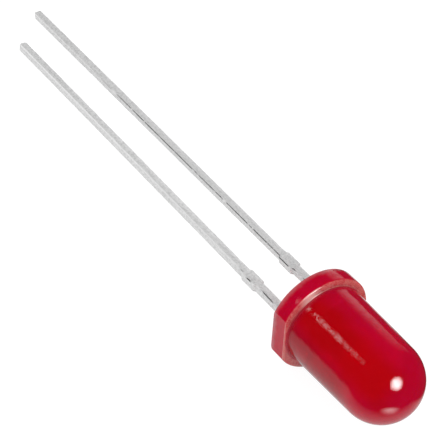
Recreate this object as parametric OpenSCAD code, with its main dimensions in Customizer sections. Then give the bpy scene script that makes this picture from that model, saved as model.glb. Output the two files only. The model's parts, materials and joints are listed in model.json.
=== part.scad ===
// Through-hole indicator lamp, 5 mm round: a red moulded lens cast round a two-piece lead frame.
// Every piece is drawn upright, with the lens axis on +Z and the seat on z = 0. resting() then
// lays the whole lamp on its side, where it touches down at the flange's rim and both lead tips.

/* [Lens] */
// Diameter of the lens where it meets the flange
body_d = 5.0; // [4.6:0.1:6]
// Draft of the lens side, in degrees
body_draft = 1.2; // [0.5:0.1:2]
// Height from the seat to the top of the dome
overall_h = 8.6; // [7.5:0.1:11]
// How far the flange stands out from the lens
flange_lip = 0.45; // [0.35:0.05:0.8]
// Height of the flange
flange_h = 1.1; // [0.8:0.1:1.2]
// How far the flat on the cathode side lies inside the flange's rim
flat_depth = 0.4; // [0.2:0.05:0.45]
// Radius on the flange's outer edges
edge_r = 0.12; // [0.05:0.01:0.2]
// Radius where the lens rises from the flange
root_r = 0.15; // [0.05:0.05:0.25]
// Width of the seat, the flat ring round the underside
seat_w = 0.65; // [0.6:0.05:0.9]
// Depth that the resin sinks to inside the seat
sink_depth = 0.12; // [0.06:0.01:0.2]
// How far the resin climbs along each lead where it sinks
creep_h = 0.1; // [0.04:0.01:0.12]

/* [Leads] */
// Distance between the leads, centre to centre
lead_pitch = 2.54; // [2:0.02:3.1]
// Width of a lead across the lead frame
lead_w = 0.48; // [0.4:0.01:0.6]
// Thickness of the sheet that the lead frame is stamped from
sheet_t = 0.45; // [0.4:0.05:0.6]
// Length of the anode below the seat
anode_len = 32.5; // [20:0.5:40]
// Length of the cathode below the seat
cathode_len = 30.0; // [20:0.5:40]
// Bevel on the corners of the cut tips
tip_bevel = 0.08; // [0.02:0.01:0.15]
// Distance from the seat to the stub that the cut tie bar leaves on each lead
stub_drop = 3.2; // [1:0.1:6]
// Length of the stub along the lead
stub_len = 1.35; // [0.8:0.05:2.5]
// How far the stub stands out on each side of the lead
stub_out = 0.11; // [0.05:0.01:0.3]

/* [Lead frame inside the lens] */
// Height at which the leads widen
frame_z = 1.3; // [1.1:0.1:1.6]
// Gap between the two halves of the frame
frame_gap = 0.35; // [0.25:0.05:0.5]
// Blunt width of the toe that the post puts under the anvil
toe_cut = 0.2; // [0.1:0.05:0.4]
// Height of the cup's rim
cup_rim_z = 3.9; // [3.6:0.1:4.6]
// Outer diameter of the coined cup
cup_d = 1.1; // [1.0:0.05:1.2]
// Diameter of the reflector at its mouth
mouth_d = 0.9; // [0.8:0.05:0.95]
// Diameter of the reflector's floor
floor_d = 0.52; // [0.48:0.02:0.6]
// Depth of the reflector
cup_depth = 0.32; // [0.24:0.02:0.4]
// Metal left under the reflector's floor
cup_base_t = 0.4; // [0.35:0.05:0.6]
// Drop from the cup's rim to the top of the anode's post
post_drop = 0.2; // [-0.2:0.05:0.5]
// Width of the post's bonding pad
post_w = 0.55; // [0.45:0.05:0.6]

/* [Chip and bonding] */
// Side of the square chip
chip_w = 0.3; // [0.22:0.02:0.32]
// Height of the chip
chip_h = 0.18; // [0.1:0.02:0.22]
// Thickness of the conductive paste under the chip
paste_t = 0.02; // [0.01:0.01:0.03]
// How far the paste climbs the chip's sides
paste_climb = 0.05; // [0.02:0.01:0.06]
// Bare rim of the reflector's floor round the paste
paste_gap = 0.01; // [0.01:0.01:0.02]
// Diameter of the bond wire
wire_d = 0.03; // [0.025:0.005:0.04]
// Diameter of the ball that bonds the wire to the chip
ball_d = 0.09; // [0.08:0.01:0.12]
// Height of the ball, and of the stitch at the wire's other end
bond_h = 0.03; // [0.03:0.005:0.05]
// Rise of the wire's loop above the cup's rim and the post
loop_rise = 0.35; // [0.2:0.05:0.6]

/* [Hidden] */
$fn = 96;
lap = 0.01;
body_r = body_d / 2;
flange_r = body_r + flange_lip;
flat_x = flange_r - flat_depth;
lead_x = lead_pitch / 2;
half_w = lead_w / 2;

// The lens side leans in by the draft and runs on into the dome without a corner.
dome_r = (body_r * cos(body_draft) - (overall_h - flange_h) * sin(body_draft)) / (1 - sin(body_draft));
dome_z = overall_h - dome_r;
dome_start = [dome_r * cos(body_draft), dome_z + dome_r * sin(body_draft)];

// The fillet at the foot of the lens touches the flange and the leaning side.
root_c = [body_r + root_r * (1 - sin(body_draft)) / cos(body_draft), flange_h + root_r];
root_top = root_c - root_r * [cos(body_draft), sin(body_draft)];

// The underside sinks as a cap of a large ball, and a cone of resin stays round each lead.
sink_r = flange_r - seat_w;
sink_ball_r = (pow(sink_r, 2) + pow(sink_depth, 2)) / (2 * sink_depth);
creep_r = norm([lead_w, sheet_t]) / 2 + 0.02;

// The cup stands on the lens axis, and the chip lies in it on a film of paste.
cup_floor_z = cup_rim_z - cup_depth;
cup_root_z = cup_floor_z - cup_base_t;
cup_flare = (cup_d - sheet_t) / 2;
post_z = cup_rim_z - post_drop;
chip_z = cup_floor_z + paste_t;
chip_top = chip_z + chip_h;

// The frame's halves part along a slant, so that the post's toe lies under the anvil.
slant_low = [half_w - lead_x, frame_z];
slant_high = [cup_d / 2, cup_root_z];
slant = atan2(slant_high[1] - slant_low[1], slant_high[0] - slant_low[0]);
slant_gap = frame_gap / sin(slant);
toe_x = slant_low[0] + slant_gap + toe_cut;
pad_x = lead_x + half_w - post_w;
function post_edge(x) = [x, frame_z + (x - slant_low[0] - slant_gap) * tan(slant)];

// The wire runs from the chip's top to the middle of the post's pad, along a cubic curve.
wire_from = [0, chip_top + bond_h / 2];
wire_to = [pad_x + post_w / 2, post_z + wire_d / 2];
handle_z = (max(cup_rim_z, post_z) + loop_rise - (wire_from[1] + wire_to[1]) / 8) * 4 / 3;
wire_poles = [wire_from, [0, handle_z], [0.75 * wire_to[0], handle_z], wire_to];
wire_steps = 20;
wire_sides = 8;

// On its side the lamp rests on the flange's lower edge and both lead tips. The wide flange lifts
// the lens, and the unequal leads roll it towards the cathode. lift is the sine of the rise.
roll_share = (anode_len - cathode_len) / lead_pitch;
reach = (anode_len + cathode_len) / 2 + abs(roll_share) * half_w;
function upright(s) = sqrt(1 - s * s * (1 + pow(roll_share, 2)));
function next_lift(s) = ((flange_r - edge_r) * sqrt(1 - s * s) + edge_r * (1 - s) - upright(s) * sheet_t / 2) / reach;
function settle(s, turns) = turns == 0 ? s : settle(next_lift(s), turns - 1);
lift = settle(0, 8);
rest_rise = asin(lift);
rest_roll = atan2(roll_share * lift, upright(lift));

module resting() {
    rotate([90 - rest_rise, 0, 0]) rotate([0, 0, rest_roll]) children();
}

// ---- lens ----

// Half section of the flange, with round outer edges
module flange_section() {
    square([flange_r - edge_r, flange_h]);
    translate([0, edge_r]) square([flange_r, flange_h - 2 * edge_r]);
    for (z = [edge_r, flange_h - edge_r]) translate([flange_r - edge_r, z]) circle(edge_r);
}

// Half section of the leaning side and the dome
module body_section() {
    polygon([[0, flange_h - lap], [body_r, flange_h - lap], [body_r, flange_h], dome_start, [0, dome_start[1]]]);
    intersection() {
        translate([0, dome_z]) circle(dome_r);
        translate([0, dome_start[1]]) square(dome_r);
    }
}

// Half section of the concave fillet at the foot of the side
module root_section() {
    difference() {
        polygon([[body_r - root_r, flange_h - lap], [root_c[0], flange_h - lap], [root_c[0], flange_h],
            root_top, [body_r - root_r, root_top[1]]]);
        translate(root_c) circle(root_r);
    }
}

module lens_blank() {
    rotate_extrude() {
        flange_section();
        body_section();
        root_section();
    }
}

// The flat on the flange marks the cathode.
module flat_cutter() {
    translate([-2 * flange_r - flat_x, -flange_r, -lap]) cube([2 * flange_r, 2 * flange_r, flange_h + root_r + lap]);
}

module sink_cutter() {
    difference() {
        translate([0, 0, sink_depth - sink_ball_r]) sphere(sink_ball_r, $fn = 240);
        for (side = [-1, 1]) translate([side * lead_x, 0, sink_depth - creep_h])
            cylinder(r1 = creep_r, r2 = creep_r + 2.5 * creep_h, h = creep_h);
    }
}

module lens() {
    color("crimson") resting() difference() {
        lens_blank();
        flat_cutter();
        sink_cutter();
        cathode_form();
        anode_form();
        paste_form();
        chip_form();
        wire_form();
    }
}

// ---- lead frame ----

// Stands an outline drawn in x and z upright, as sheet metal centred on y = 0
module sheet() {
    rotate([90, 0, 0]) linear_extrude(sheet_t, center = true) children();
}

// One edge of a leg, from its cut tip up past the stub. way is 1 for the edge towards +X.
function leg_edge(side, way, length) =
    let (out = half_w + stub_out, low = -stub_drop - stub_len)
    [for (p = [[half_w - tip_bevel, -length], [half_w, tip_bevel - length], [half_w, low], [out, low + stub_out],
        [out, -stub_drop - stub_out], [half_w, -stub_drop]]) [side * lead_x + way * p[0], p[1]]];
function backwards(list) = [for (i = [len(list) - 1:-1:0]) list[i]];

// The cathode widens into the anvil, which leans to the lens axis and carries the cup.
module cathode_outline() {
    outer = -lead_x - half_w;
    polygon(concat(leg_edge(-1, 1, cathode_len),
        [slant_low, slant_high, [cup_d / 2, cup_root_z + cup_flare], [-cup_d / 2, cup_root_z + cup_flare],
            [-cup_d / 2, cup_root_z], [outer, cup_root_z + outer + cup_d / 2]],
        backwards(leg_edge(-1, -1, cathode_len))));
}

// The anode widens into the post, which keeps its distance from the slant down to a blunt toe.
module anode_outline() {
    outer = lead_x + half_w;
    polygon(concat(leg_edge(1, 1, anode_len),
        [[outer, post_z], [pad_x, post_z], post_edge(pad_x), post_edge(toe_x), [toe_x, frame_z], [lead_x - half_w, frame_z]],
        backwards(leg_edge(1, -1, anode_len))));
}

// The coined cup flares out from the sheet, and its cone throws the light forward.
module cup() {
    rotate_extrude() polygon([[0, cup_root_z], [sheet_t / 2, cup_root_z], [cup_d / 2, cup_root_z + cup_flare],
        [cup_d / 2, cup_rim_z], [mouth_d / 2, cup_rim_z], [floor_d / 2, cup_floor_z], [0, cup_floor_z]]);
}

module cathode_form() {
    sheet() cathode_outline();
    cup();
}

module anode_form() {
    sheet() anode_outline();
}

module cathode_lead() {
    color("silver") resting() cathode_form();
}

module anode_lead() {
    color("silver") resting() anode_form();
}

// ---- chip and bonding ----

module chip_form() {
    translate([0, 0, chip_z + chip_h / 2]) cube([chip_w, chip_w, chip_h], center = true);
}

// A dab of paste fills the floor and climbs the chip's sides at 45 degrees.
module paste_form() {
    wide = floor_d / 2 - paste_gap;
    high = paste_t + paste_climb;
    difference() {
        translate([0, 0, cup_floor_z]) cylinder(r1 = wide, r2 = wide - high, h = high);
        chip_form();
    }
}

// A point on the cubic curve through four poles, and the curve's direction there
function cubic(p, t) = pow(1 - t, 3) * p[0] + 3 * t * pow(1 - t, 2) * p[1] + 3 * t * t * (1 - t) * p[2] + pow(t, 3) * p[3];
function heading(p, t) = pow(1 - t, 2) * (p[1] - p[0]) + 2 * t * (1 - t) * (p[2] - p[1]) + t * t * (p[3] - p[2]);

// Corner number side of the wire's ring at step
function wire_point(step, side) =
    let (t = step / wire_steps, at = cubic(wire_poles, t), way = heading(wire_poles, t), a = side * 360 / wire_sides)
    [at[0] - cos(a) * way[1] / norm(way) * wire_d / 2, sin(a) * wire_d / 2, at[1] + cos(a) * way[0] / norm(way) * wire_d / 2];

module wire_loop() {
    function corner(step, side) = step * wire_sides + side % wire_sides;
    polyhedron(
        points = [for (step = [0:wire_steps], side = [0:wire_sides - 1]) wire_point(step, side)],
        faces = concat(
            [[for (side = [wire_sides - 1:-1:0]) corner(0, side)], [for (side = [0:wire_sides - 1]) corner(wire_steps, side)]],
            [for (step = [0:wire_steps - 1], side = [0:wire_sides - 1])
                [corner(step, side), corner(step, side + 1), corner(step + 1, side + 1)]],
            [for (step = [0:wire_steps - 1], side = [0:wire_sides - 1])
                [corner(step, side), corner(step + 1, side + 1), corner(step + 1, side)]]));
}

module wire_form() {
    translate([0, 0, chip_top]) cylinder(d = ball_d, h = bond_h);
    wire_loop();
    translate([wire_to[0], 0, post_z]) cylinder(d = ball_d, h = bond_h);
}

module chip() {
    color("gold") resting() chip_form();
}

module die_attach() {
    color("lightgray") resting() paste_form();
}

module bond_wire() {
    color("goldenrod") resting() wire_form();
}

lens();
cathode_lead();
anode_lead();
chip();
die_attach();
bond_wire();
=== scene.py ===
"""A round red 5 mm LED on a pale floor.

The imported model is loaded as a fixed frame. This file gives it a smooth moulded lens, leads with
rounded, wavering edges, a finish for every piece, soft studio light and a camera.
Shapes are drawn upright, with the lens axis on Z, the anode on +X and the seat on z = 0, and are
then laid on their side as the frame lies.
"""

import json
import math

import bmesh
import bpy
from bpy.props import FloatProperty, FloatVectorProperty, IntProperty, PointerProperty
from mathutils import Matrix, Vector, noise


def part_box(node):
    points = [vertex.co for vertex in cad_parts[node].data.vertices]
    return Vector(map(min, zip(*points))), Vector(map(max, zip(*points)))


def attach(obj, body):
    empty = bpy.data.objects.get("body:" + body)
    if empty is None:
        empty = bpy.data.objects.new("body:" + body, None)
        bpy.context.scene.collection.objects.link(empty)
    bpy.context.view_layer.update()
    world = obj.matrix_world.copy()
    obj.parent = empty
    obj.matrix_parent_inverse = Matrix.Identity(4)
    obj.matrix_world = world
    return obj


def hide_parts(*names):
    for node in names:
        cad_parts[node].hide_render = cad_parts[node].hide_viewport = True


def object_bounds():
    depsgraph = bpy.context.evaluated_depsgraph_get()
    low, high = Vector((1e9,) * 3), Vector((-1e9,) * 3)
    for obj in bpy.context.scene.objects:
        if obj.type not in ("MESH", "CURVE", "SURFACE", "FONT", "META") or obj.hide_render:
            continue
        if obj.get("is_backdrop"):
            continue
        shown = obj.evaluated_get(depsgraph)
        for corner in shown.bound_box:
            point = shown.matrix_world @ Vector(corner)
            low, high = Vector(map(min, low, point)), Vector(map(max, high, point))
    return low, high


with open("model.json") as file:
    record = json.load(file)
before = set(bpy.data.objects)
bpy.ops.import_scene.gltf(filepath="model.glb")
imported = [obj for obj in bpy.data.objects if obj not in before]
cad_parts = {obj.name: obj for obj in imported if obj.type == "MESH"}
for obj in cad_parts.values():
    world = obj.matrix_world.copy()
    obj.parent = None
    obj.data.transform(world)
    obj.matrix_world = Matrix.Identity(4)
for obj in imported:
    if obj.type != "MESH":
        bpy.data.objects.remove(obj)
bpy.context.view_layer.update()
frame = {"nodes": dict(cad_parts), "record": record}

bl_info = {
    "name": "Round Red LED",
    "version": (1, 0, 0),
    "blender": (4, 5, 0),
    "location": "View3D > Sidebar > LED",
    "description": "Builds the lens, leads, finishes and studio of a through-hole LED",
    "category": "Object",
}

MM = 0.001
# Points nearer to each other than this are one point.
WELD = 1e-7
MOUNTS = {mount["name"]: mount for mount in frame["record"]["mounts"]}


def lamp_axes():
    """The turn that lays the upright lamp as it lies in the frame."""
    up = -Vector(MOUNTS["seating_plane"]["axis"])
    across = Vector(MOUNTS["anode_pin"]["pos_m"]) - Vector(MOUNTS["cathode_pin"]["pos_m"])
    side = up.cross(across).normalized()
    return Matrix((side.cross(up), side, up.normalized())).transposed().to_4x4()


LAID = lamp_axes()


def upright_box(node):
    """Lowest and highest corner of a CAD node along the lamp's own axes."""
    stand = LAID.inverted()
    points = [stand @ vertex.co for vertex in frame["nodes"][node].data.vertices]
    low = Vector([min(p[axis] for p in points) for axis in range(3)])
    high = Vector([max(p[axis] for p in points) for axis in range(3)])
    return low, high


LENS_LOW, LENS_HIGH = upright_box("lens")
ANODE_LOW, ANODE_HIGH = upright_box("anode_lead")
CATHODE_LOW, CATHODE_HIGH = upright_box("cathode_lead")
LEAD_PITCH = (Vector(MOUNTS["anode_pin"]["pos_m"]) - Vector(MOUNTS["cathode_pin"]["pos_m"])).length
# How far the moulded flange and its flat stand out past the frame's.
FLANGE_SWELL = 0.03 * MM
FLAT_SWELL = 0.09 * MM


# ---- settings ----


def length(name, description, default):
    return FloatProperty(
        name=name, description=description, default=default, unit="LENGTH", precision=5
    )


def angle(name, description, degrees):
    default = math.radians(degrees)
    return FloatProperty(
        name=name, description=description, default=default, unit="ROTATION", subtype="ANGLE"
    )


def share(name, description, default):
    return FloatProperty(
        name=name, description=description, default=default, min=0, max=1, subtype="FACTOR"
    )


def colour(name, description, default):
    return FloatVectorProperty(
        name=name, description=description, default=default, size=3, min=0, max=1, subtype="COLOR"
    )


class LensSettings(bpy.types.PropertyGroup):
    """Sizes and resin of the moulded lens."""

    height: length("Height", "From the seat to the top of the dome", LENS_HIGH.z)
    flange_radius: length("Flange radius", "Radius of the flange", LENS_HIGH.x + FLANGE_SWELL)
    flat_distance: length(
        "Flat distance", "From the axis to the flat that marks the cathode", FLAT_SWELL - LENS_LOW.x
    )
    flat_turn: angle("Flat turn", "Turn of the flat about the lens axis", -3.4)
    body_shift: FloatVectorProperty(
        name="Body shift", description="How far the dome stands off the middle of the flange",
        default=(0.04 * MM, 0.055 * MM), size=2, unit="LENGTH", precision=5,
    )
    body_radius: length("Body radius", "Radius of the lens where it meets the flange", 2.5 * MM)
    draft: angle("Draft", "How far the side leans in", 1.2)
    flange_height: length("Flange height", "Height of the flange", 1.1 * MM)
    edge_radius: length("Edge radius", "Radius on the flange's outer edges", 0.12 * MM)
    root_radius: length("Root radius", "Radius where the lens rises from the flange", 0.07 * MM)
    flat_edge: length("Flat edge", "Softness of the flat's edges", 0.03 * MM)
    seat_width: length("Seat width", "Width of the flat ring round the underside", 0.65 * MM)
    sink_depth: length("Sink depth", "How far the resin sinks inside the seat", 0.12 * MM)
    creep_height: length("Creep height", "How far the resin climbs along each lead", 0.1 * MM)
    creep_radius: length("Creep radius", "Radius of the resin's climb at its top", 0.38 * MM)
    sides: IntProperty(
        name="Sides", description="Steps round the lens", default=192, min=48, max=256
    )
    resin: colour("Resin", "Colour of the dyed resin", (0.52, 0.0008, 0.026))
    # Painted light: the lead frame seen through the resin is painted into the core as a warmer
    # tone.
    painted_core_tone: colour(
        "Core", "Colour painted into the resin's core for the lead frame seen through it", (0.48, 0.0004, 0.004)
    )
    core_turn: angle("Core turn", "Direction across the core, from the anode's side", 31.5)
    # Painted shade: the resin is darkened along one side.
    painted_side_shade: colour(
        "Painted side shade", "Colour of the painted shade along one side of the resin", (0.36, 0.0006, 0.011)
    )
    # Painted sheen: the flange's front ring is lightened.
    painted_ring_sheen: colour(
        "Painted ring sheen", "Colour of the painted sheen on the flange's front ring", (0.66, 0.2, 0.18)
    )
    # Painted highlight on one stretch of the flange's front ring.
    painted_ring_highlight: colour(
        "Painted ring highlight", "Colour of the painted highlight on the flange's ring", (0.9, 0.6, 0.55)
    )
    # Painted glow: the resin is paled along the seat's edge.
    painted_seat_glow: colour(
        "Painted seat glow", "Colour of the painted glow at the seat's edge", (0.44, 0.18, 0.2)
    )
    gloss: share("Roughness", "Roughness of the moulded surface", 0.05)
    clearness: share(
        "Clearness", "Share of the light that goes through the diffusing resin", 0.25
    )


class LeadSettings(bpy.types.PropertyGroup):
    """Sizes and finish of the two stamped leads."""

    pitch: length("Pitch", "Distance between the leads, centre to centre", LEAD_PITCH)
    width: length("Width", "Width of a lead across the frame", 0.48 * MM)
    sheet: length("Sheet", "Thickness of the sheet", ANODE_HIGH.y - ANODE_LOW.y)
    anode_length: length("Anode length", "Length of the anode below the seat", -ANODE_LOW.z)
    cathode_length: length("Cathode length", "Length of the cathode below the seat", -CATHODE_LOW.z)
    tip_bevel: length("Tip bevel", "Bevel on the corners of the cut tips", 0.08 * MM)
    stub_drop: length(
        "Stub drop", "From the seat to the stub that the cut tie bar leaves", 3.2 * MM
    )
    stub_length: length("Stub length", "Length of the stub along the lead", 1.35 * MM)
    stub_out: length("Stub reach", "How far the stub stands out on each side", 0.11 * MM)
    frame_start: length("Frame start", "Height at which the leads widen", 1.3 * MM)
    frame_gap: length("Frame gap", "Gap between the anvil and the post", 0.35 * MM)
    toe: length("Toe", "Blunt width of the post's toe", 0.2 * MM)
    cup_rim: length("Cup rim", "Height of the cup's rim", CATHODE_HIGH.z)
    cup_radius: length("Cup radius", "Outer radius of the coined cup", 0.55 * MM)
    mouth_radius: length("Mouth radius", "Radius of the reflector's mouth", 0.45 * MM)
    floor_radius: length("Floor radius", "Radius of the reflector's floor", 0.26 * MM)
    cup_depth: length("Cup depth", "Depth of the reflector", 0.32 * MM)
    cup_base: length("Cup base", "Metal left under the reflector's floor", 0.4 * MM)
    post: length("Post", "Height of the anode's post", ANODE_HIGH.z)
    post_width: length("Post width", "Width of the bonding pad on the post", 0.55 * MM)
    edge: length("Edge", "Rounding of the stamped edges", 0.045 * MM)
    slice: length("Slice", "Distance between the rings along a leg", 0.12 * MM)
    roughness: length("Roughness", "How far the stamped edges waver", 0.012 * MM)
    anode_lift: length(
        "Anode lift", "How far the anode's tip stands off the middle plane", 0.055 * MM
    )
    cathode_lift: length(
        "Cathode lift", "How far the cathode's tip stands off the middle plane", 0.09 * MM
    )
    anode_twist: angle("Anode twist", "Turn of the anode's leg about itself", 2.5)
    cathode_twist: angle("Cathode twist", "Turn of the cathode's leg about itself", -8)
    cathode_tin: length(
        "Cathode tin", "Extra thickness of the tin on the cathode's leg", 0.012 * MM
    )
    tin: colour("Tin", "Colour of the tinned surface", (0.82, 0.82, 0.82))
    dull_tin: colour("Dull tin", "Colour of the tin in its drawn lines", (0.56, 0.56, 0.56))
    # Painted shade: the stamped edge is darkened in dashes.
    edge_shade_tin: colour("Edge shade tin", "Colour of the painted shade on the stamped edge", (0.5, 0.5, 0.5))


class BondingSettings(bpy.types.PropertyGroup):
    """Finish of the chip, its paste and the bond wire. Each has two tones in a fine grain."""

    chip: colour("Chip", "Colour of the chip", (0.45, 0.3, 0.08))
    chip_shade: colour("Chip shade", "Darker tone of the chip", (0.3, 0.2, 0.06))
    paste: colour("Paste", "Colour of the silver paste", (0.62, 0.62, 0.62))
    paste_shade: colour("Paste shade", "Darker tone of the paste", (0.5, 0.5, 0.5))
    wire: colour("Wire", "Colour of the gold wire", (0.9, 0.68, 0.25))
    wire_shade: colour("Wire shade", "Darker tone of the wire", (0.8, 0.58, 0.2))


class StageSettings(bpy.types.PropertyGroup):
    """Camera, light and floor."""

    aim: FloatVectorProperty(
        name="Aim", description="Point that the camera looks at",
        default=(-0.00028, 0.008576, -0.000384), size=3, subtype="XYZ", unit="LENGTH", precision=6,
    )
    distance: length("Distance", "From the camera to the point that it looks at", 109.7 * MM)
    azimuth: angle("Azimuth", "Camera's turn round the lamp", -39.944)
    elevation: angle("Elevation", "Camera's angle above the floor", 43.216)
    roll: angle("Roll", "Camera's turn about its own view", 9.27)
    focal: FloatProperty(
        name="Focal length", description="Lens of the camera in millimetres", default=154.44
    )
    ambient: FloatProperty(
        name="Ambient", description="Strength of the soft light from all round", default=1.25
    )
    gloom: FloatProperty(
        name="Gloom", description="What glossy surfaces see of the dark room", default=0.02
    )


# ---- shader values ----


class Value:
    """A shader socket that takes arithmetic like a number."""

    def __init__(self, nodes, socket):
        self.nodes = nodes
        self.socket = socket

    def math(self, operation, *terms):
        return self.nodes.add("Math", {"operation": operation}, dict(enumerate(terms)))

    def __add__(self, other):
        return self.math("ADD", self, other)

    def __sub__(self, other):
        return self.math("SUBTRACT", self, other)

    def __rsub__(self, other):
        return self.math("SUBTRACT", other, self)

    def __mul__(self, other):
        return self.math("MULTIPLY", self, other)

    def __abs__(self):
        return self.math("ABSOLUTE", self)

    __radd__ = __add__
    __rmul__ = __mul__


class Nodes:
    """A node tree, and one way to add any node to it."""

    def __init__(self, tree):
        self.tree = tree
        tree.nodes.clear()

    def add(self, kind, settings=None, sockets=None, output=0):
        """Adds a node, applies its settings, fills or links its sockets, and returns one output."""
        node = self.tree.nodes.new("ShaderNode" + kind)
        for name, setting in (settings or {}).items():
            setattr(node, name, setting)
        for name, content in (sockets or {}).items():
            if isinstance(content, Value):
                self.tree.links.new(content.socket, node.inputs[name])
            else:
                node.inputs[name].default_value = content
        return Value(self, node.outputs[output]) if node.outputs else None

    def mix(self, factor, first, second):
        """Blends two colours. The numbers are the Mix node's sockets for them."""
        sockets = {0: factor, 6: self.rgba(first), 7: self.rgba(second)}
        return self.add("Mix", {"data_type": "RGBA"}, sockets, output=2)

    @staticmethod
    def rgba(tone):
        return tone if isinstance(tone, Value) else (*tone[:3], 1)

    def step(self, value, low, high):
        """Rises smoothly from 0 at low to 1 at high."""
        sockets = {"Value": value, "From Min": low, "From Max": high}
        return self.add("MapRange", {"interpolation_type": "SMOOTHSTEP"}, sockets)

    def fade(self, value, low, high):
        """Falls smoothly from 1 at low to 0 at high."""
        return 1 - self.step(value, low, high)

    def band(self, value, rise, fall):
        """Rises from 0 to 1 over the first span, and falls back over the second."""
        return self.step(value, *rise) * self.fade(value, *fall)

    def grain(self, at, scale, detail=2.0, rough=0.5):
        """Noise from 0 to 1, with features of about 1 / scale."""
        sockets = {"Vector": at, "Scale": scale, "Detail": detail, "Roughness": rough}
        return self.add("TexNoise", None, sockets)

    def stretched(self, at, scale):
        """Coordinates scaled apart along the three axes."""
        return self.add("Mapping", {"vector_type": "POINT"}, {"Vector": at, "Scale": scale})

    def millimetres(self, turn=(0, 0, 0)):
        """The object's own coordinates in millimetres."""
        at = self.add("TexCoord", output="Object")
        sockets = {"Vector": at, "Rotation": turn, "Scale": (1 / MM, 1 / MM, 1 / MM)}
        return self.add("Mapping", {"vector_type": "POINT"}, sockets)

    def upright(self):
        """Coordinates in millimetres along the lamp's own axes."""
        return self.millimetres(LAID.inverted().to_euler())

    def length(self, vector):
        return self.add("VectorMath", {"operation": "LENGTH"}, {0: vector}, output="Value")

    def split(self, at):
        """The x, y and z of a vector."""
        return [self.add("SeparateXYZ", None, {0: at}, output=axis) for axis in range(3)]

    def bump(self, height, depth, strength=1.0):
        return self.add("Bump", None, {"Strength": strength, "Distance": depth, "Height": height})

    def surface(self, shader):
        self.add("OutputMaterial", None, {"Surface": shader})


def new_material(name):
    material = bpy.data.materials.new(name)
    material.use_nodes = True
    return material, Nodes(material.node_tree)


# ---- shapes ----

# How far the resin's climb spreads, for each unit of its height.
CREEP_SPREAD = 2.5
# A leg takes up its twist, bow and tin over this length below the seat.
LEG_START = 3 * MM
# Size of the waver on a stamped edge, in millimetres.
WAVE_ACROSS = 0.25
WAVE_ALONG = 0.6
# Shares of the lens side at which extra rings keep its shading straight right up to its curves.
SIDE_RINGS = (0.06, 0.98)
# The root's own radius and a little more, within which the body's points are found.
ROOT_REACH = 1.1


def arc(bm, start, centre, turn, steps):
    """Draws an arc in the XZ plane from a vertex, and returns the arc's last vertex."""
    made = bmesh.ops.spin(bm, geom=[start], cent=centre, axis=(0, 1, 0), angle=turn, steps=steps)
    return made["geom_last"][0]


def chain(bm, start, *points):
    """Draws straight lines on from a vertex through points in the XZ plane."""
    made = [start]
    for x, z in points:
        made.append(bm.verts.new((x, 0, z)))
        bm.edges.new(made[-2:])
    return made[1:]


def round_corner(bm, vertex, radius, segments=8):
    bmesh.ops.bevel(
        bm, geom=[vertex], offset=radius, offset_type="OFFSET", affect="VERTICES",
        segments=segments, profile=0.5, material=-1,
    )


def round_edges(bm, edges, radius, segments):
    bmesh.ops.bevel(
        bm, geom=edges, offset=radius, offset_type="OFFSET", affect="EDGES",
        segments=segments, profile=0.5, material=-1, clamp_overlap=True,
    )


def revolve(bm, sides):
    """Spins the profile round the Z axis into a closed shell with its faces outwards."""
    bmesh.ops.spin(
        bm, geom=bm.verts[:] + bm.edges[:], cent=(0, 0, 0), axis=(0, 0, 1),
        angle=math.tau, steps=sides, use_merge=True,
    )
    bmesh.ops.remove_doubles(bm, verts=bm.verts[:], dist=WELD)
    bmesh.ops.recalc_face_normals(bm, faces=bm.faces[:])


def lens_profile(bm, lens):
    """Half profile of the lens, from the middle of the underside round to the top of the dome."""
    lean = math.sin(lens.draft)
    rise = lens.height - lens.flange_height
    dome = (lens.body_radius * math.cos(lens.draft) - rise * lean) / (1 - lean)
    dome_centre = (0, 0, lens.height - dome)
    seat_inner = lens.flange_radius - lens.seat_width
    sink = (seat_inner ** 2 + lens.sink_depth ** 2) / (2 * lens.sink_depth)
    middle = bm.verts.new((0, 0, lens.sink_depth))
    seat = arc(bm, middle, (0, 0, lens.sink_depth - sink), math.asin(seat_inner / sink), 16)
    foot = Vector((lens.body_radius, lens.flange_height))
    brow = Vector((dome * math.cos(lens.draft), dome_centre[2] + dome * lean))
    low_edge, high_edge, root, _, _, shoulder = chain(
        bm, seat,
        (lens.flange_radius, 0),
        (lens.flange_radius, lens.flange_height),
        foot,
        *(foot.lerp(brow, share_up) for share_up in SIDE_RINGS),
        brow,
    )
    arc(bm, shoulder, dome_centre, lens.draft - math.pi / 2, 40)
    round_corner(bm, low_edge, lens.edge_radius)
    round_corner(bm, high_edge, lens.edge_radius)
    round_corner(bm, root, lens.root_radius)


def shift_body(bm, lens):
    """Moves the lens above the flange, with its root, as its half of the mould stood."""
    root = lens.body_radius + lens.root_radius * ROOT_REACH
    low = lens.flange_height - WELD
    body = [vertex for vertex in bm.verts if vertex.co.z > low and vertex.co.xy.length < root]
    bmesh.ops.translate(bm, verts=body, vec=(*lens.body_shift, 0))


def cut_flat(bm, lens):
    """Cuts the flat that marks the cathode, and softens its edges."""
    outward = Matrix.Rotation(lens.flat_turn, 3, "Z") @ Vector((-1, 0, 0))
    cut = bmesh.ops.bisect_plane(
        bm, geom=bm.verts[:] + bm.edges[:] + bm.faces[:], dist=WELD,
        plane_co=outward * lens.flat_distance, plane_no=outward, clear_outer=True,
    )
    outline = [part for part in cut["geom_cut"] if isinstance(part, bmesh.types.BMEdge)]
    flat = bmesh.ops.contextual_create(bm, geom=outline)["faces"][0]
    round_edges(bm, list(flat.edges), lens.flat_edge, 2)


def add_creep(bm, lens, lead_x):
    """A low cone of resin climbs along a lead where the underside sinks."""
    foot = lens.creep_radius + CREEP_SPREAD * lens.creep_height
    bmesh.ops.create_cone(
        bm, cap_ends=True, segments=48,
        radius1=lens.creep_radius, radius2=foot, depth=lens.creep_height,
        matrix=Matrix.Translation((lead_x, 0, lens.sink_depth - lens.creep_height / 2)),
    )


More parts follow.
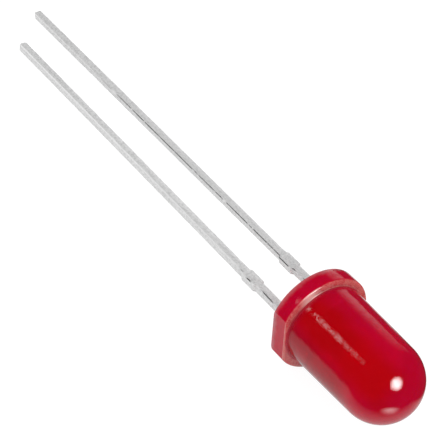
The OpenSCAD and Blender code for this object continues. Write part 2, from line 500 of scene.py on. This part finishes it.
def sheet_piece(points, thickness):
    """A closed piece of sheet with that outline in the XZ plane."""
    bm = bmesh.new()
    corners = [bm.verts.new((x, -thickness / 2, z)) for x, z in points]
    face = bm.faces.new(corners)
    made = bmesh.ops.extrude_face_region(bm, geom=[face])["geom"]
    moved = [part for part in made if isinstance(part, bmesh.types.BMVert)]
    bmesh.ops.translate(bm, verts=moved, vec=(0, thickness, 0))
    bmesh.ops.recalc_face_normals(bm, faces=bm.faces[:])
    return bm


def leg_edge(leads, side, way, reach):
    """One edge of a leg, from its cut tip up past the stub; way is 1 for the edge towards +X."""
    half = leads.width / 2
    low = -leads.stub_drop - leads.stub_length
    out = half + leads.stub_out
    steps = [
        (half - leads.tip_bevel, -reach),
        (half, leads.tip_bevel - reach),
        (half, low),
        (out, low + leads.stub_out),
        (out, -leads.stub_drop - leads.stub_out),
        (half, -leads.stub_drop),
    ]
    return [(side * leads.pitch / 2 + way * x, z) for x, z in steps]


def slant_line(leads):
    """The anvil's slanted lower edge: its ends, its slope and the post's distance from it in x."""
    base = leads.cup_rim - leads.cup_depth - leads.cup_base
    low = Vector((leads.width / 2 - leads.pitch / 2, leads.frame_start))
    high = Vector((leads.cup_radius, base))
    slope = (high.y - low.y) / (high.x - low.x)
    return low, high, slope, leads.frame_gap / math.sin(math.atan(slope))


def cathode_outline(leads):
    """The cathode widens into the anvil, which leans to the lens axis."""
    low, high, _, _ = slant_line(leads)
    flare = leads.cup_radius - leads.sheet / 2
    outer = -leads.pitch / 2 - leads.width / 2
    anvil = [
        tuple(low),
        tuple(high),
        (leads.cup_radius, high.y + flare),
        (-leads.cup_radius, high.y + flare),
        (-leads.cup_radius, high.y),
        (outer, high.y + outer + leads.cup_radius),
    ]
    near = leg_edge(leads, -1, 1, leads.cathode_length)
    far = leg_edge(leads, -1, -1, leads.cathode_length)
    return near + anvil + far[::-1]


def anode_outline(leads):
    """The anode widens into the post, which runs beside the slant down to a blunt toe."""
    low, _, slope, gap = slant_line(leads)
    outer = leads.pitch / 2 + leads.width / 2
    pad = outer - leads.post_width
    toe = low.x + gap + leads.toe
    post = [
        (outer, leads.post),
        (pad, leads.post),
        (pad, low.y + (pad - low.x - gap) * slope),
        (toe, low.y + (toe - low.x - gap) * slope),
        (toe, low.y),
        (leads.pitch / 2 - leads.width / 2, low.y),
    ]
    near = leg_edge(leads, 1, 1, leads.anode_length)
    far = leg_edge(leads, 1, -1, leads.anode_length)
    return near + post + far[::-1]


def cup_shape(leads):
    """The coined cup, with the cone that throws the light forward."""
    bm = bmesh.new()
    floor = leads.cup_rim - leads.cup_depth
    base = floor - leads.cup_base
    flare = leads.cup_radius - leads.sheet / 2
    start = bm.verts.new((0, 0, base))
    chain(
        bm, start,
        (leads.sheet / 2, base),
        (leads.cup_radius, base + flare),
        (leads.cup_radius, leads.cup_rim),
        (leads.mouth_radius, leads.cup_rim),
        (leads.floor_radius, floor),
        (0, floor),
    )
    revolve(bm, 64)
    return bm


def slice_leg(bm, leads, reach):
    """Cuts rings across a leg below the seat, so that its edges can waver."""
    count = int(reach / leads.slice)
    for ring in range(1, count):
        bmesh.ops.bisect_plane(
            bm, geom=bm.verts[:] + bm.edges[:] + bm.faces[:], dist=WELD / 10,
            plane_co=(0, 0, -ring * leads.slice), plane_no=(0, 0, 1),
        )


def smooth(value, low, high):
    """Rises smoothly from 0 at low to 1 at high."""
    share = min(max((value - low) / (high - low), 0), 1)
    return share * share * (3 - 2 * share)


def bend_leg(bm, leads, lead_x, twist, lift, tin):
    """Roughens a leg's stamped edges, coats and twists it, and lets it leave the middle plane."""
    bm.normal_update()
    for vertex in bm.verts:
        x, y, z = vertex.co
        if z > 0:
            continue
        clear = smooth(-z, 0, LEG_START)
        seed = Vector((x / WAVE_ACROSS, y / WAVE_ACROSS, z / WAVE_ALONG)) / MM
        vertex.co += vertex.normal * (noise.noise(seed) * leads.roughness + tin * clear)
        turn = Matrix.Rotation(twist * clear, 3, "Z")
        middle = Vector((lead_x, 0, vertex.co.z))
        vertex.co = middle + turn @ (vertex.co - middle)
        vertex.co.y -= lift * z / leads.anode_length


def to_mesh(bm, name):
    mesh = bpy.data.meshes.new(name)
    bm.to_mesh(mesh)
    bm.free()
    return mesh


def union(first, second):
    """The union of two closed meshes, as a bmesh."""
    objects = [bpy.data.objects.new("part", mesh) for mesh in (first, second)]
    for part in objects:
        bpy.context.scene.collection.objects.link(part)
    joint = objects[0].modifiers.new("Union", "BOOLEAN")
    joint.operation = "UNION"
    joint.object = objects[1]
    whole = objects[0].evaluated_get(bpy.context.evaluated_depsgraph_get())
    bm = bmesh.new()
    bm.from_mesh(whole.to_mesh())
    for part in objects:
        bpy.data.objects.remove(part)
    return bm


def make_piece(bm, name, materials, node, sharp_degrees=35):
    """Lays a shape on its side and makes it the piece that stands for a CAD node."""
    bmesh.ops.transform(bm, matrix=LAID, verts=bm.verts[:])
    for face in bm.faces:
        face.smooth = True
    mesh = to_mesh(bm, name)
    mesh.set_sharp_from_angle(angle=math.radians(sharp_degrees))
    piece = bpy.data.objects.new(name, mesh)
    bpy.context.scene.collection.objects.link(piece)
    for material in materials:
        mesh.materials.append(material)
    normals = piece.modifiers.new("Flat faces stay flat", "WEIGHTED_NORMAL")
    normals.keep_sharp = True
    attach(piece, "root")
    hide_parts(node)
    return piece


# ---- finishes ----
# Places in the patterns are in millimetres.

# Heights over which the side turns into the dome, and over which the dome closes.
DOME_START = (5.0, 7.0)
DOME_TOP = (7.6, 8.6)


def resin_tone_with_painted_light(nodes, lens, at):
    """Resin colour: warmer in the core, where the lead frame seen through it is painted in, and
    darker along one side, where shade is painted.
    """
    x, y, z = nodes.split(at)
    top = lens.flange_height / MM
    beside = x * math.cos(lens.core_turn) + y * math.sin(lens.core_turn)
    cloud = nodes.grain(at, 0.7)
    off_core = abs(beside) + (cloud - 0.5) * 0.8
    # Painted light: the core, where the lead frame shows through, takes a warmer tone.
    core = nodes.fade(off_core, 0.6, 1.7) * nodes.band(z, (top - 0.1, top + 0.5), DOME_TOP)
    tone = nodes.mix(1 - core, lens.painted_core_tone, lens.resin)
    # Painted shade along one side of the body, from just above the flange to the dome.
    side_shade = nodes.step(0 - beside, 1.0, 1.7) * nodes.band(z, (top, top + 0.2), DOME_START)
    return nodes.mix(side_shade, tone, lens.painted_side_shade)


def painted_edge_light(nodes, lens, at, tone, broad, fine):
    """Adds painted light on the flange's moulded edges: a pale painted sheen on the front ring with
    a painted highlight, and a painted glow at the seat.
    """
    x, y, z = nodes.split(at)
    top = lens.flange_height / MM
    body = lens.body_radius / MM
    from_axis = nodes.length(nodes.stretched(at, (1, 1, 0)))
    front = nodes.band(z, (top - 0.09, top - 0.03), (top + 0.02, top + 0.08))
    ring = front * nodes.step(from_axis, body, body + 0.1)
    # Painted sheen on the front ring, stronger beside the flat and broken by a mottle.
    beside_flat = nodes.step(0 - x, 2.5, 2.6) * 0.4
    mottle = nodes.step(broad, 0.4, 0.6) * 0.25 + nodes.step(fine, 0.35, 0.6) * 0.4
    tone = nodes.mix(ring * (beside_flat + 0.3 + mottle), tone, lens.painted_ring_sheen)
    # Painted highlight on one stretch of the front ring, on its upper side.
    ring_highlight = ring * nodes.band(x, (-1.8, -1.1), (-0.9, -0.2)) * nodes.step(y, 0.0, 1.0)
    tone = nodes.mix(ring_highlight * 0.8, tone, lens.painted_ring_highlight)
    # Painted glow along the seat's edge, round the underside.
    seat = nodes.fade(z + (broad - 0.5) * 0.3, 0.0, 0.42) * nodes.step(from_axis, 2.4, 2.5)
    return nodes.mix(seat * 0.8, tone, lens.painted_seat_glow)


def resin_material(lens):
    """Dyed diffusing resin: glossy, slightly see-through, and paler on the flange's edges, with
    painted light there, in its core and along one side.
    """
    material, nodes = new_material("red_resin")
    at = nodes.upright()
    _, _, z = nodes.split(at)
    top = lens.flange_height / MM
    fine = nodes.grain(at, 9.0, 3.0, 0.6)
    broad = nodes.grain(at, 2.2)
    tone = painted_edge_light(nodes, lens, at, resin_tone_with_painted_light(nodes, lens, at), broad, fine)
    root = nodes.band(z, (top, top + 0.02), (top + 0.1, top + 0.3))
    waves = (fine * 0.12 + broad) * (1 - nodes.step(z, *DOME_START) * 0.6)
    shader = nodes.add("BsdfPrincipled", None, {
        "Base Color": tone,
        "Roughness": lens.gloss + nodes.step(fine, 0.3, 0.8) * 0.04 + root * 0.25,
        "IOR": 1.53,
        "Transmission Weight": lens.clearness,
        "Subsurface Weight": 0.6,
        "Subsurface Radius": (1.0, 0.15, 0.2),
        "Subsurface Scale": 1.0 * MM,
        "Normal": nodes.bump(waves, 0.015 * MM, 0.8),
    })
    nodes.surface(shader)
    return material


def tin_material(leads):
    """Tinned strip: satin, with fine lines drawn along it and a mottle of dull specks."""
    material, nodes = new_material("tinned_lead")
    at = nodes.upright()
    lines = nodes.grain(nodes.stretched(at, (14, 14, 0.5)), 1.0, 4.0, 0.65)
    specks = nodes.grain(at, 9.0, 3.0, 0.7)
    dull = nodes.step(lines, 0.45, 0.75) * 0.4 + nodes.step(specks, 0.42, 0.62) * 0.6
    shader = nodes.add("BsdfPrincipled", None, {
        "Base Color": nodes.mix(dull, leads.tin, leads.dull_tin),
        "Metallic": 0.3 + specks * 0.15,
        "Roughness": 0.3 + specks * 0.2,
        "Normal": nodes.bump(lines + specks * 0.4, 0.012 * MM, 0.7),
    })
    nodes.surface(shader)
    return material


def edge_shade_material(leads):
    """The stamped edge: painted shade in dark dashes that are also more metallic and smoother, and
    bright along the cathode's far half, where no shade is painted.
    """
    material, nodes = new_material("edge_with_painted_shade")
    at = nodes.upright()
    x, _, z = nodes.split(at)
    below = 0 - z
    anode = nodes.step(x, -0.1, 0.1)
    scratch = nodes.grain(nodes.stretched(at, (1, 1, 0.6)), 2.5, 3.0)
    near_stub = nodes.fade(below, 4.2, 5.2)
    # Painted shade in dashes along the edge; on the anode they fade out towards its tip.
    anode_dashes = nodes.step(scratch, 0.34, 0.48) * nodes.fade(below, 19.0, 27.0) * anode
    dashes = anode_dashes * (1 - near_stub) + nodes.step(scratch, 0.42, 0.56) * near_stub
    bright = nodes.step(below, 9.0, 20.0) * (1 - anode)
    polish_and_shade = dashes * (1 - bright)
    tone = nodes.mix(polish_and_shade, leads.tin, leads.edge_shade_tin)
    shader = nodes.add("BsdfPrincipled", None, {
        "Base Color": nodes.mix(bright, tone, leads.tin),
        "Metallic": 0.3 + polish_and_shade * 0.6 - bright * 0.1,
        "Roughness": 0.4 - polish_and_shade * 0.15,
        "Normal": nodes.bump(dashes, 0.004 * MM, 0.6),
    })
    nodes.surface(shader)
    return material


def grained_finish(name, tone, shade, scale, metallic, roughness, depth):
    """A small inner piece: two tones in a fine grain. Its depth is in thousandths of a mm."""
    material, nodes = new_material(name)
    grain = nodes.grain(nodes.upright(), scale, 3.0)
    shader = nodes.add("BsdfPrincipled", None, {
        "Base Color": nodes.mix(nodes.step(grain, 0.35, 0.65), tone, shade),
        "Metallic": metallic,
        "Roughness": roughness + grain * 0.15,
        "Normal": nodes.bump(grain, depth * 0.001 * MM, 0.5),
    })
    nodes.surface(shader)
    return material


# ---- pieces ----


class LED_OT_lens(bpy.types.Operator):
    """Mould the lens with its dome, flange and flat"""

    bl_idname = "led.lens"
    bl_label = "Lens"

    def execute(self, context):
        lens = context.scene.led_lens
        bm = bmesh.new()
        lens_profile(bm, lens)
        revolve(bm, lens.sides)
        shift_body(bm, lens)
        cut_flat(bm, lens)
        for side in (-1, 1):
            add_creep(bm, lens, side * context.scene.led_leads.pitch / 2)
        make_piece(bm, "resin_lens", [resin_material(lens)], "lens")
        return {"FINISHED"}


class LED_OT_leads(bpy.types.Operator):
    """Stamp both leads, with rounded edges, stubs, anvil, cup and post"""

    bl_idname = "led.leads"
    bl_label = "Leads"

    def execute(self, context):
        leads = context.scene.led_leads
        tins = [tin_material(leads), edge_shade_material(leads)]
        half = leads.pitch / 2
        cathode = sheet_piece(cathode_outline(leads), leads.sheet)
        self.finish_leg(cathode, leads, -half, leads.cathode_length)
        bend_leg(cathode, leads, -half, leads.cathode_twist, leads.cathode_lift, leads.cathode_tin)
        cathode = union(to_mesh(cathode, "anvil"), to_mesh(cup_shape(leads), "cup"))
        make_piece(cathode, "cathode_strip", tins, "cathode_lead", sharp_degrees=40)
        anode = sheet_piece(anode_outline(leads), leads.sheet)
        self.finish_leg(anode, leads, half, leads.anode_length)
        bend_leg(anode, leads, half, leads.anode_twist, leads.anode_lift, 0)
        make_piece(anode, "anode_strip", tins, "anode_lead", sharp_degrees=40)
        return {"FINISHED"}

    @staticmethod
    def finish_leg(bm, leads, lead_x, reach):
        """Rounds a leg's corners, marks the stamped edge and cuts the leg in rings."""
        corners = [edge for edge in bm.edges if edge.calc_face_angle(0) > math.radians(30)]
        round_edges(bm, corners, leads.edge, 2)
        for face in bm.faces:
            place = face.calc_center_median()
            # The edge faces towards -X on the +Y side take the stamped edge's painted shade.
            slopes = abs(face.normal.x) > 0.2 and face.normal.y > 0.2
            if slopes and place.x < lead_x and place.z < 0:
                face.material_index = 1
        slice_leg(bm, leads, reach)


class LED_OT_bonding(bpy.types.Operator):
    """Finish the chip, its paste and the bond wire"""

    bl_idname = "led.bonding"
    bl_label = "Chip and bonding"

    def execute(self, context):
        bonds = context.scene.led_bonding
        finishes = {
            "chip": grained_finish(
                "chip", bonds.chip, bonds.chip_shade,
                scale=20, metallic=0.2, roughness=0.25, depth=1,
            ),
            "die_attach": grained_finish(
                "silver_paste", bonds.paste, bonds.paste_shade,
                scale=30, metallic=0.5, roughness=0.5, depth=3,
            ),
            "bond_wire": grained_finish(
                "gold_wire", bonds.wire, bonds.wire_shade,
                scale=40, metallic=1.0, roughness=0.15, depth=1,
            ),
        }
        for node, material in finishes.items():
            mesh = frame["nodes"][node].data
            mesh.materials.clear()
            mesh.materials.append(material)
        return {"FINISHED"}


# ---- stage ----

# Sizes of the discs in a round lamp, and how much nearer each stands than the last.
NESTED_DISCS = (1.0, 0.75, 0.5)
DISC_STEP = 0.002
CARD_DISTANCE = 60 * MM
# The bright spot on the floor, in millimetres.
SPOT_CENTRE = (-2.0, -14.3, 0.0)
SPOT_RADII = (3.3, 3.6, 1.0)


def direction(azimuth, elevation):
    """Unit vector towards a place in the studio; azimuth 0 is in front of the dome, on -Y."""
    flat = math.cos(elevation)
    return Vector((math.sin(azimuth) * flat, -math.cos(azimuth) * flat, math.sin(elevation)))


def add_camera(stage):
    camera = bpy.data.objects.new("camera", bpy.data.cameras.new("camera"))
    bpy.context.scene.collection.objects.link(camera)
    camera.data.lens = stage.focal
    camera.data.sensor_width = 36
    camera.data.clip_start = 0.005
    camera.data.clip_end = 10
    back = direction(stage.azimuth, stage.elevation)
    camera.location = Vector(stage.aim) + back * stage.distance
    level = back.to_track_quat("Z", "Y").to_matrix()
    camera.rotation_euler = (level @ Matrix.Rotation(stage.roll, 3, "Z")).to_euler()
    bpy.context.scene.camera = camera


def facing_lens(azimuth, elevation):
    """A lamp's own axes: ahead along the lens axis, across it, and the way from lens to lamp."""
    way = direction(math.radians(azimuth), math.radians(elevation))
    across = way.cross(LAID.col[2].to_3d()).normalized()
    return across.cross(way), across, way


def add_glint(name, focus, azimuth, elevation, distance, size, radiance):
    """A round lamp that only gloss sees. Its nested discs make it fade towards its edge."""
    ahead, across, way = facing_lens(azimuth, elevation)
    for index, scale in enumerate(NESTED_DISCS):
        data = bpy.data.lights.new(f"{name}_{index}", "AREA")
        data.shape = "DISK"
        data.size = size * scale
        area = math.pi / 4 * data.size ** 2
        data.energy = radiance / len(NESTED_DISCS) * math.pi * area
        lamp = bpy.data.objects.new(data.name, data)
        bpy.context.scene.collection.objects.link(lamp)
        lamp.location = focus + way * distance * (1 - DISC_STEP * index)
        lamp.rotation_euler = Matrix((ahead, across, way)).transposed().to_euler()
        lamp.visible_camera = False
        lamp.visible_diffuse = False


def streak_pattern(nodes, ahead, across):
    """Starts sharply at the flange, and fades towards the dome and to both sides."""
    aside = across - ahead * 0.4
    along = nodes.fade(ahead, 0.2, 3.5) * 0.6 + nodes.fade(ahead, 2.0, 8.0) * 0.4
    return along * nodes.step(ahead, 0.3, 0.6) * nodes.band(aside, (-10.0, -2.5), (0.3, 6.0))


def band_pattern(nodes, ahead, across):
    """Bright at its sharp lower edge, and fades upwards and towards the dome."""
    lower = across - ahead * 0.25
    rim = nodes.fade(ahead, -4.6, -3.4) * 0.75
    side = nodes.fade(ahead, -3.0, 7.0) * nodes.step(ahead, -4.2, -1.8) * 0.72
    dome = nodes.fade(ahead, 12.0, 28.0) * 0.16
    line = nodes.band(ahead, (3.0, 9.0), (16.0, 24.0)) * nodes.step(lower, 7.0, 11.0)
    glow = (rim + side + dome) * nodes.step(across, -20.0, 3.0) + line * 0.15
    return glow * nodes.fade(lower, 11.0, 15.0) + 0.02


def add_card(name, focus, azimuth, elevation, size, radiance, pattern):
    """A glowing card near the lens that only gloss sees. Its pattern is drawn in millimetres."""
    ahead, across, way = facing_lens(azimuth, elevation)
    bm = bmesh.new()
    bmesh.ops.create_grid(bm, x_segments=1, y_segments=1, size=size / 2)
    card = bpy.data.objects.new(name, to_mesh(bm, name))
    bpy.context.scene.collection.objects.link(card)
    card.location = focus + way * CARD_DISTANCE
    card.rotation_euler = Matrix((ahead, across, way)).transposed().to_euler()
    material, nodes = new_material(name)
    material.cycles.emission_sampling = "NONE"
    along, aside, _ = nodes.split(nodes.millimetres())
    shade = pattern(nodes, along, aside)
    nodes.surface(nodes.add("Emission", None, {"Color": shade, "Strength": radiance}))
    card.data.materials.append(material)
    for kind in ("camera", "diffuse", "transmission", "shadow"):
        setattr(card, "visible_" + kind, False)
    card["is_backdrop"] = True


def seen_by(nodes):
    """Whether a ray comes from the camera, from a glossy surface or through a clear one."""
    kinds = ("Is Camera Ray", "Is Glossy Ray", "Is Transmission Ray")
    return [nodes.add("LightPath", output=kind) for kind in kinds]


def set_world(stage):
    """White for the camera and clear pieces, dark for gloss, and soft light for everything else."""
    world = bpy.data.worlds.new("studio")
    world.use_nodes = True
    world.cycles.sampling_method = "NONE"
    bpy.context.scene.world = world
    nodes = Nodes(world.node_tree)
    camera, glossy, clear = seen_by(nodes)
    shown = camera + clear
    strength = shown + glossy * stage.gloom + (1 - shown - glossy) * stage.ambient
    sky = nodes.add("Background", None, {"Color": (1, 1, 1, 1), "Strength": strength})
    nodes.add("OutputWorld", None, {"Surface": sky})


def floor_glow(nodes):
    """What gloss sees of the floor: lit round the lamp, beside it, and in one bright spot."""
    at = nodes.millimetres()
    x, y, _ = nodes.split(at)
    lit = nodes.band(x, (-14, -8), (4.2, 6.2)) * nodes.step(y, -15.5, -10)
    lit = lit * nodes.step(x + y, -17, -10) * 0.62
    beside = nodes.band(x, (5.5, 6.5), (6.5, 13.0)) * nodes.band(y, (-1.0, 1.0), (6.0, 10.0))
    spot = nodes.add("Mapping", {"vector_type": "TEXTURE"}, {
        "Vector": at, "Location": SPOT_CENTRE, "Scale": SPOT_RADII,
    })
    spot = nodes.fade(nodes.length(nodes.stretched(spot, (1, 1, 0))), 0.0, 1.0)
    return lit + beside * 0.9 + spot * 4.6 + 0.03


def floor_material():
    """Pale floor. It shows white and keeps a soft shadow."""
    material, nodes = new_material("pale_floor")
    material.cycles.emission_sampling = "NONE"
    camera, glossy, clear = seen_by(nodes)
    matt = nodes.add("BsdfDiffuse", None, {"Color": (0.85, 0.85, 0.85, 1)})
    shade = camera * 1.1 + clear + glossy * floor_glow(nodes)
    glow = nodes.add("Emission", None, {"Color": shade, "Strength": 1.0})
    white = camera * 0.85 + glossy + clear
    nodes.surface(nodes.add("MixShader", None, {0: white, 1: matt, 2: glow}))
    return material


def add_floor(low):
    bm = bmesh.new()
    place = Matrix.Translation((0, 0, low))
    bmesh.ops.create_circle(bm, cap_ends=True, segments=96, radius=0.6, matrix=place)
    floor = bpy.data.objects.new("floor", to_mesh(bm, "floor"))
    floor.data.materials.append(floor_material())
    bpy.context.scene.collection.objects.link(floor)
    floor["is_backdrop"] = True


class LED_OT_stage(bpy.types.Operator):
    """Set the floor, the light and the camera"""

    bl_idname = "led.stage"
    bl_label = "Stage"

    def execute(self, context):
        stage = context.scene.led_stage
        low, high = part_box("lens")
        focus = (low + high) / 2
        add_camera(stage)
        add_floor(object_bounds()[0].z)
        set_world(stage)
        add_glint(
            "key_glint", focus, azimuth=4.3, elevation=34, distance=0.4, size=0.24, radiance=22
        )
        add_card(
            "streak_card", focus, azimuth=-139, elevation=39,
            size=24 * MM, radiance=5.0, pattern=streak_pattern,
        )
        add_card(
            "band_card", focus, azimuth=127, elevation=20,
            size=64 * MM, radiance=1.0, pattern=band_pattern,
        )
        view = context.scene.view_settings
        view.view_transform = "Standard"
        return {"FINISHED"}


# ---- add-on ----


class LED_PT_panel(bpy.types.Panel):
    """Lists the lamp's sizes and finishes, and the steps that build it."""

    bl_idname = "LED_PT_panel"
    bl_label = "Round Red LED"
    bl_space_type = "VIEW_3D"
    bl_region_type = "UI"
    bl_category = "LED"

    def draw(self, context):
        scene = context.scene
        for settings, operators in (
            (scene.led_lens, ("led.lens",)),
            (scene.led_leads, ("led.leads",)),
            (scene.led_bonding, ("led.bonding",)),
            (scene.led_stage, ("led.stage",)),
        ):
            box = self.layout.box()
            for name in settings.__annotations__:
                box.prop(settings, name)
            for operator in operators:
                box.operator(operator)


SETTINGS = {
    "led_lens": LensSettings,
    "led_leads": LeadSettings,
    "led_bonding": BondingSettings,
    "led_stage": StageSettings,
}
OPERATORS = (LED_OT_lens, LED_OT_leads, LED_OT_bonding, LED_OT_stage)
CLASSES = (*SETTINGS.values(), *OPERATORS, LED_PT_panel)


def register():
    for cls in CLASSES:
        bpy.utils.register_class(cls)
    for name, cls in SETTINGS.items():
        setattr(bpy.types.Scene, name, PointerProperty(type=cls))


def unregister():
    for name in SETTINGS:
        delattr(bpy.types.Scene, name)
    for cls in reversed(CLASSES):
        bpy.utils.unregister_class(cls)


def main():
    register()
    bpy.ops.led.lens()
    bpy.ops.led.leads()
    bpy.ops.led.bonding()
    bpy.ops.led.stage()


if __name__ == "__main__":
    main()
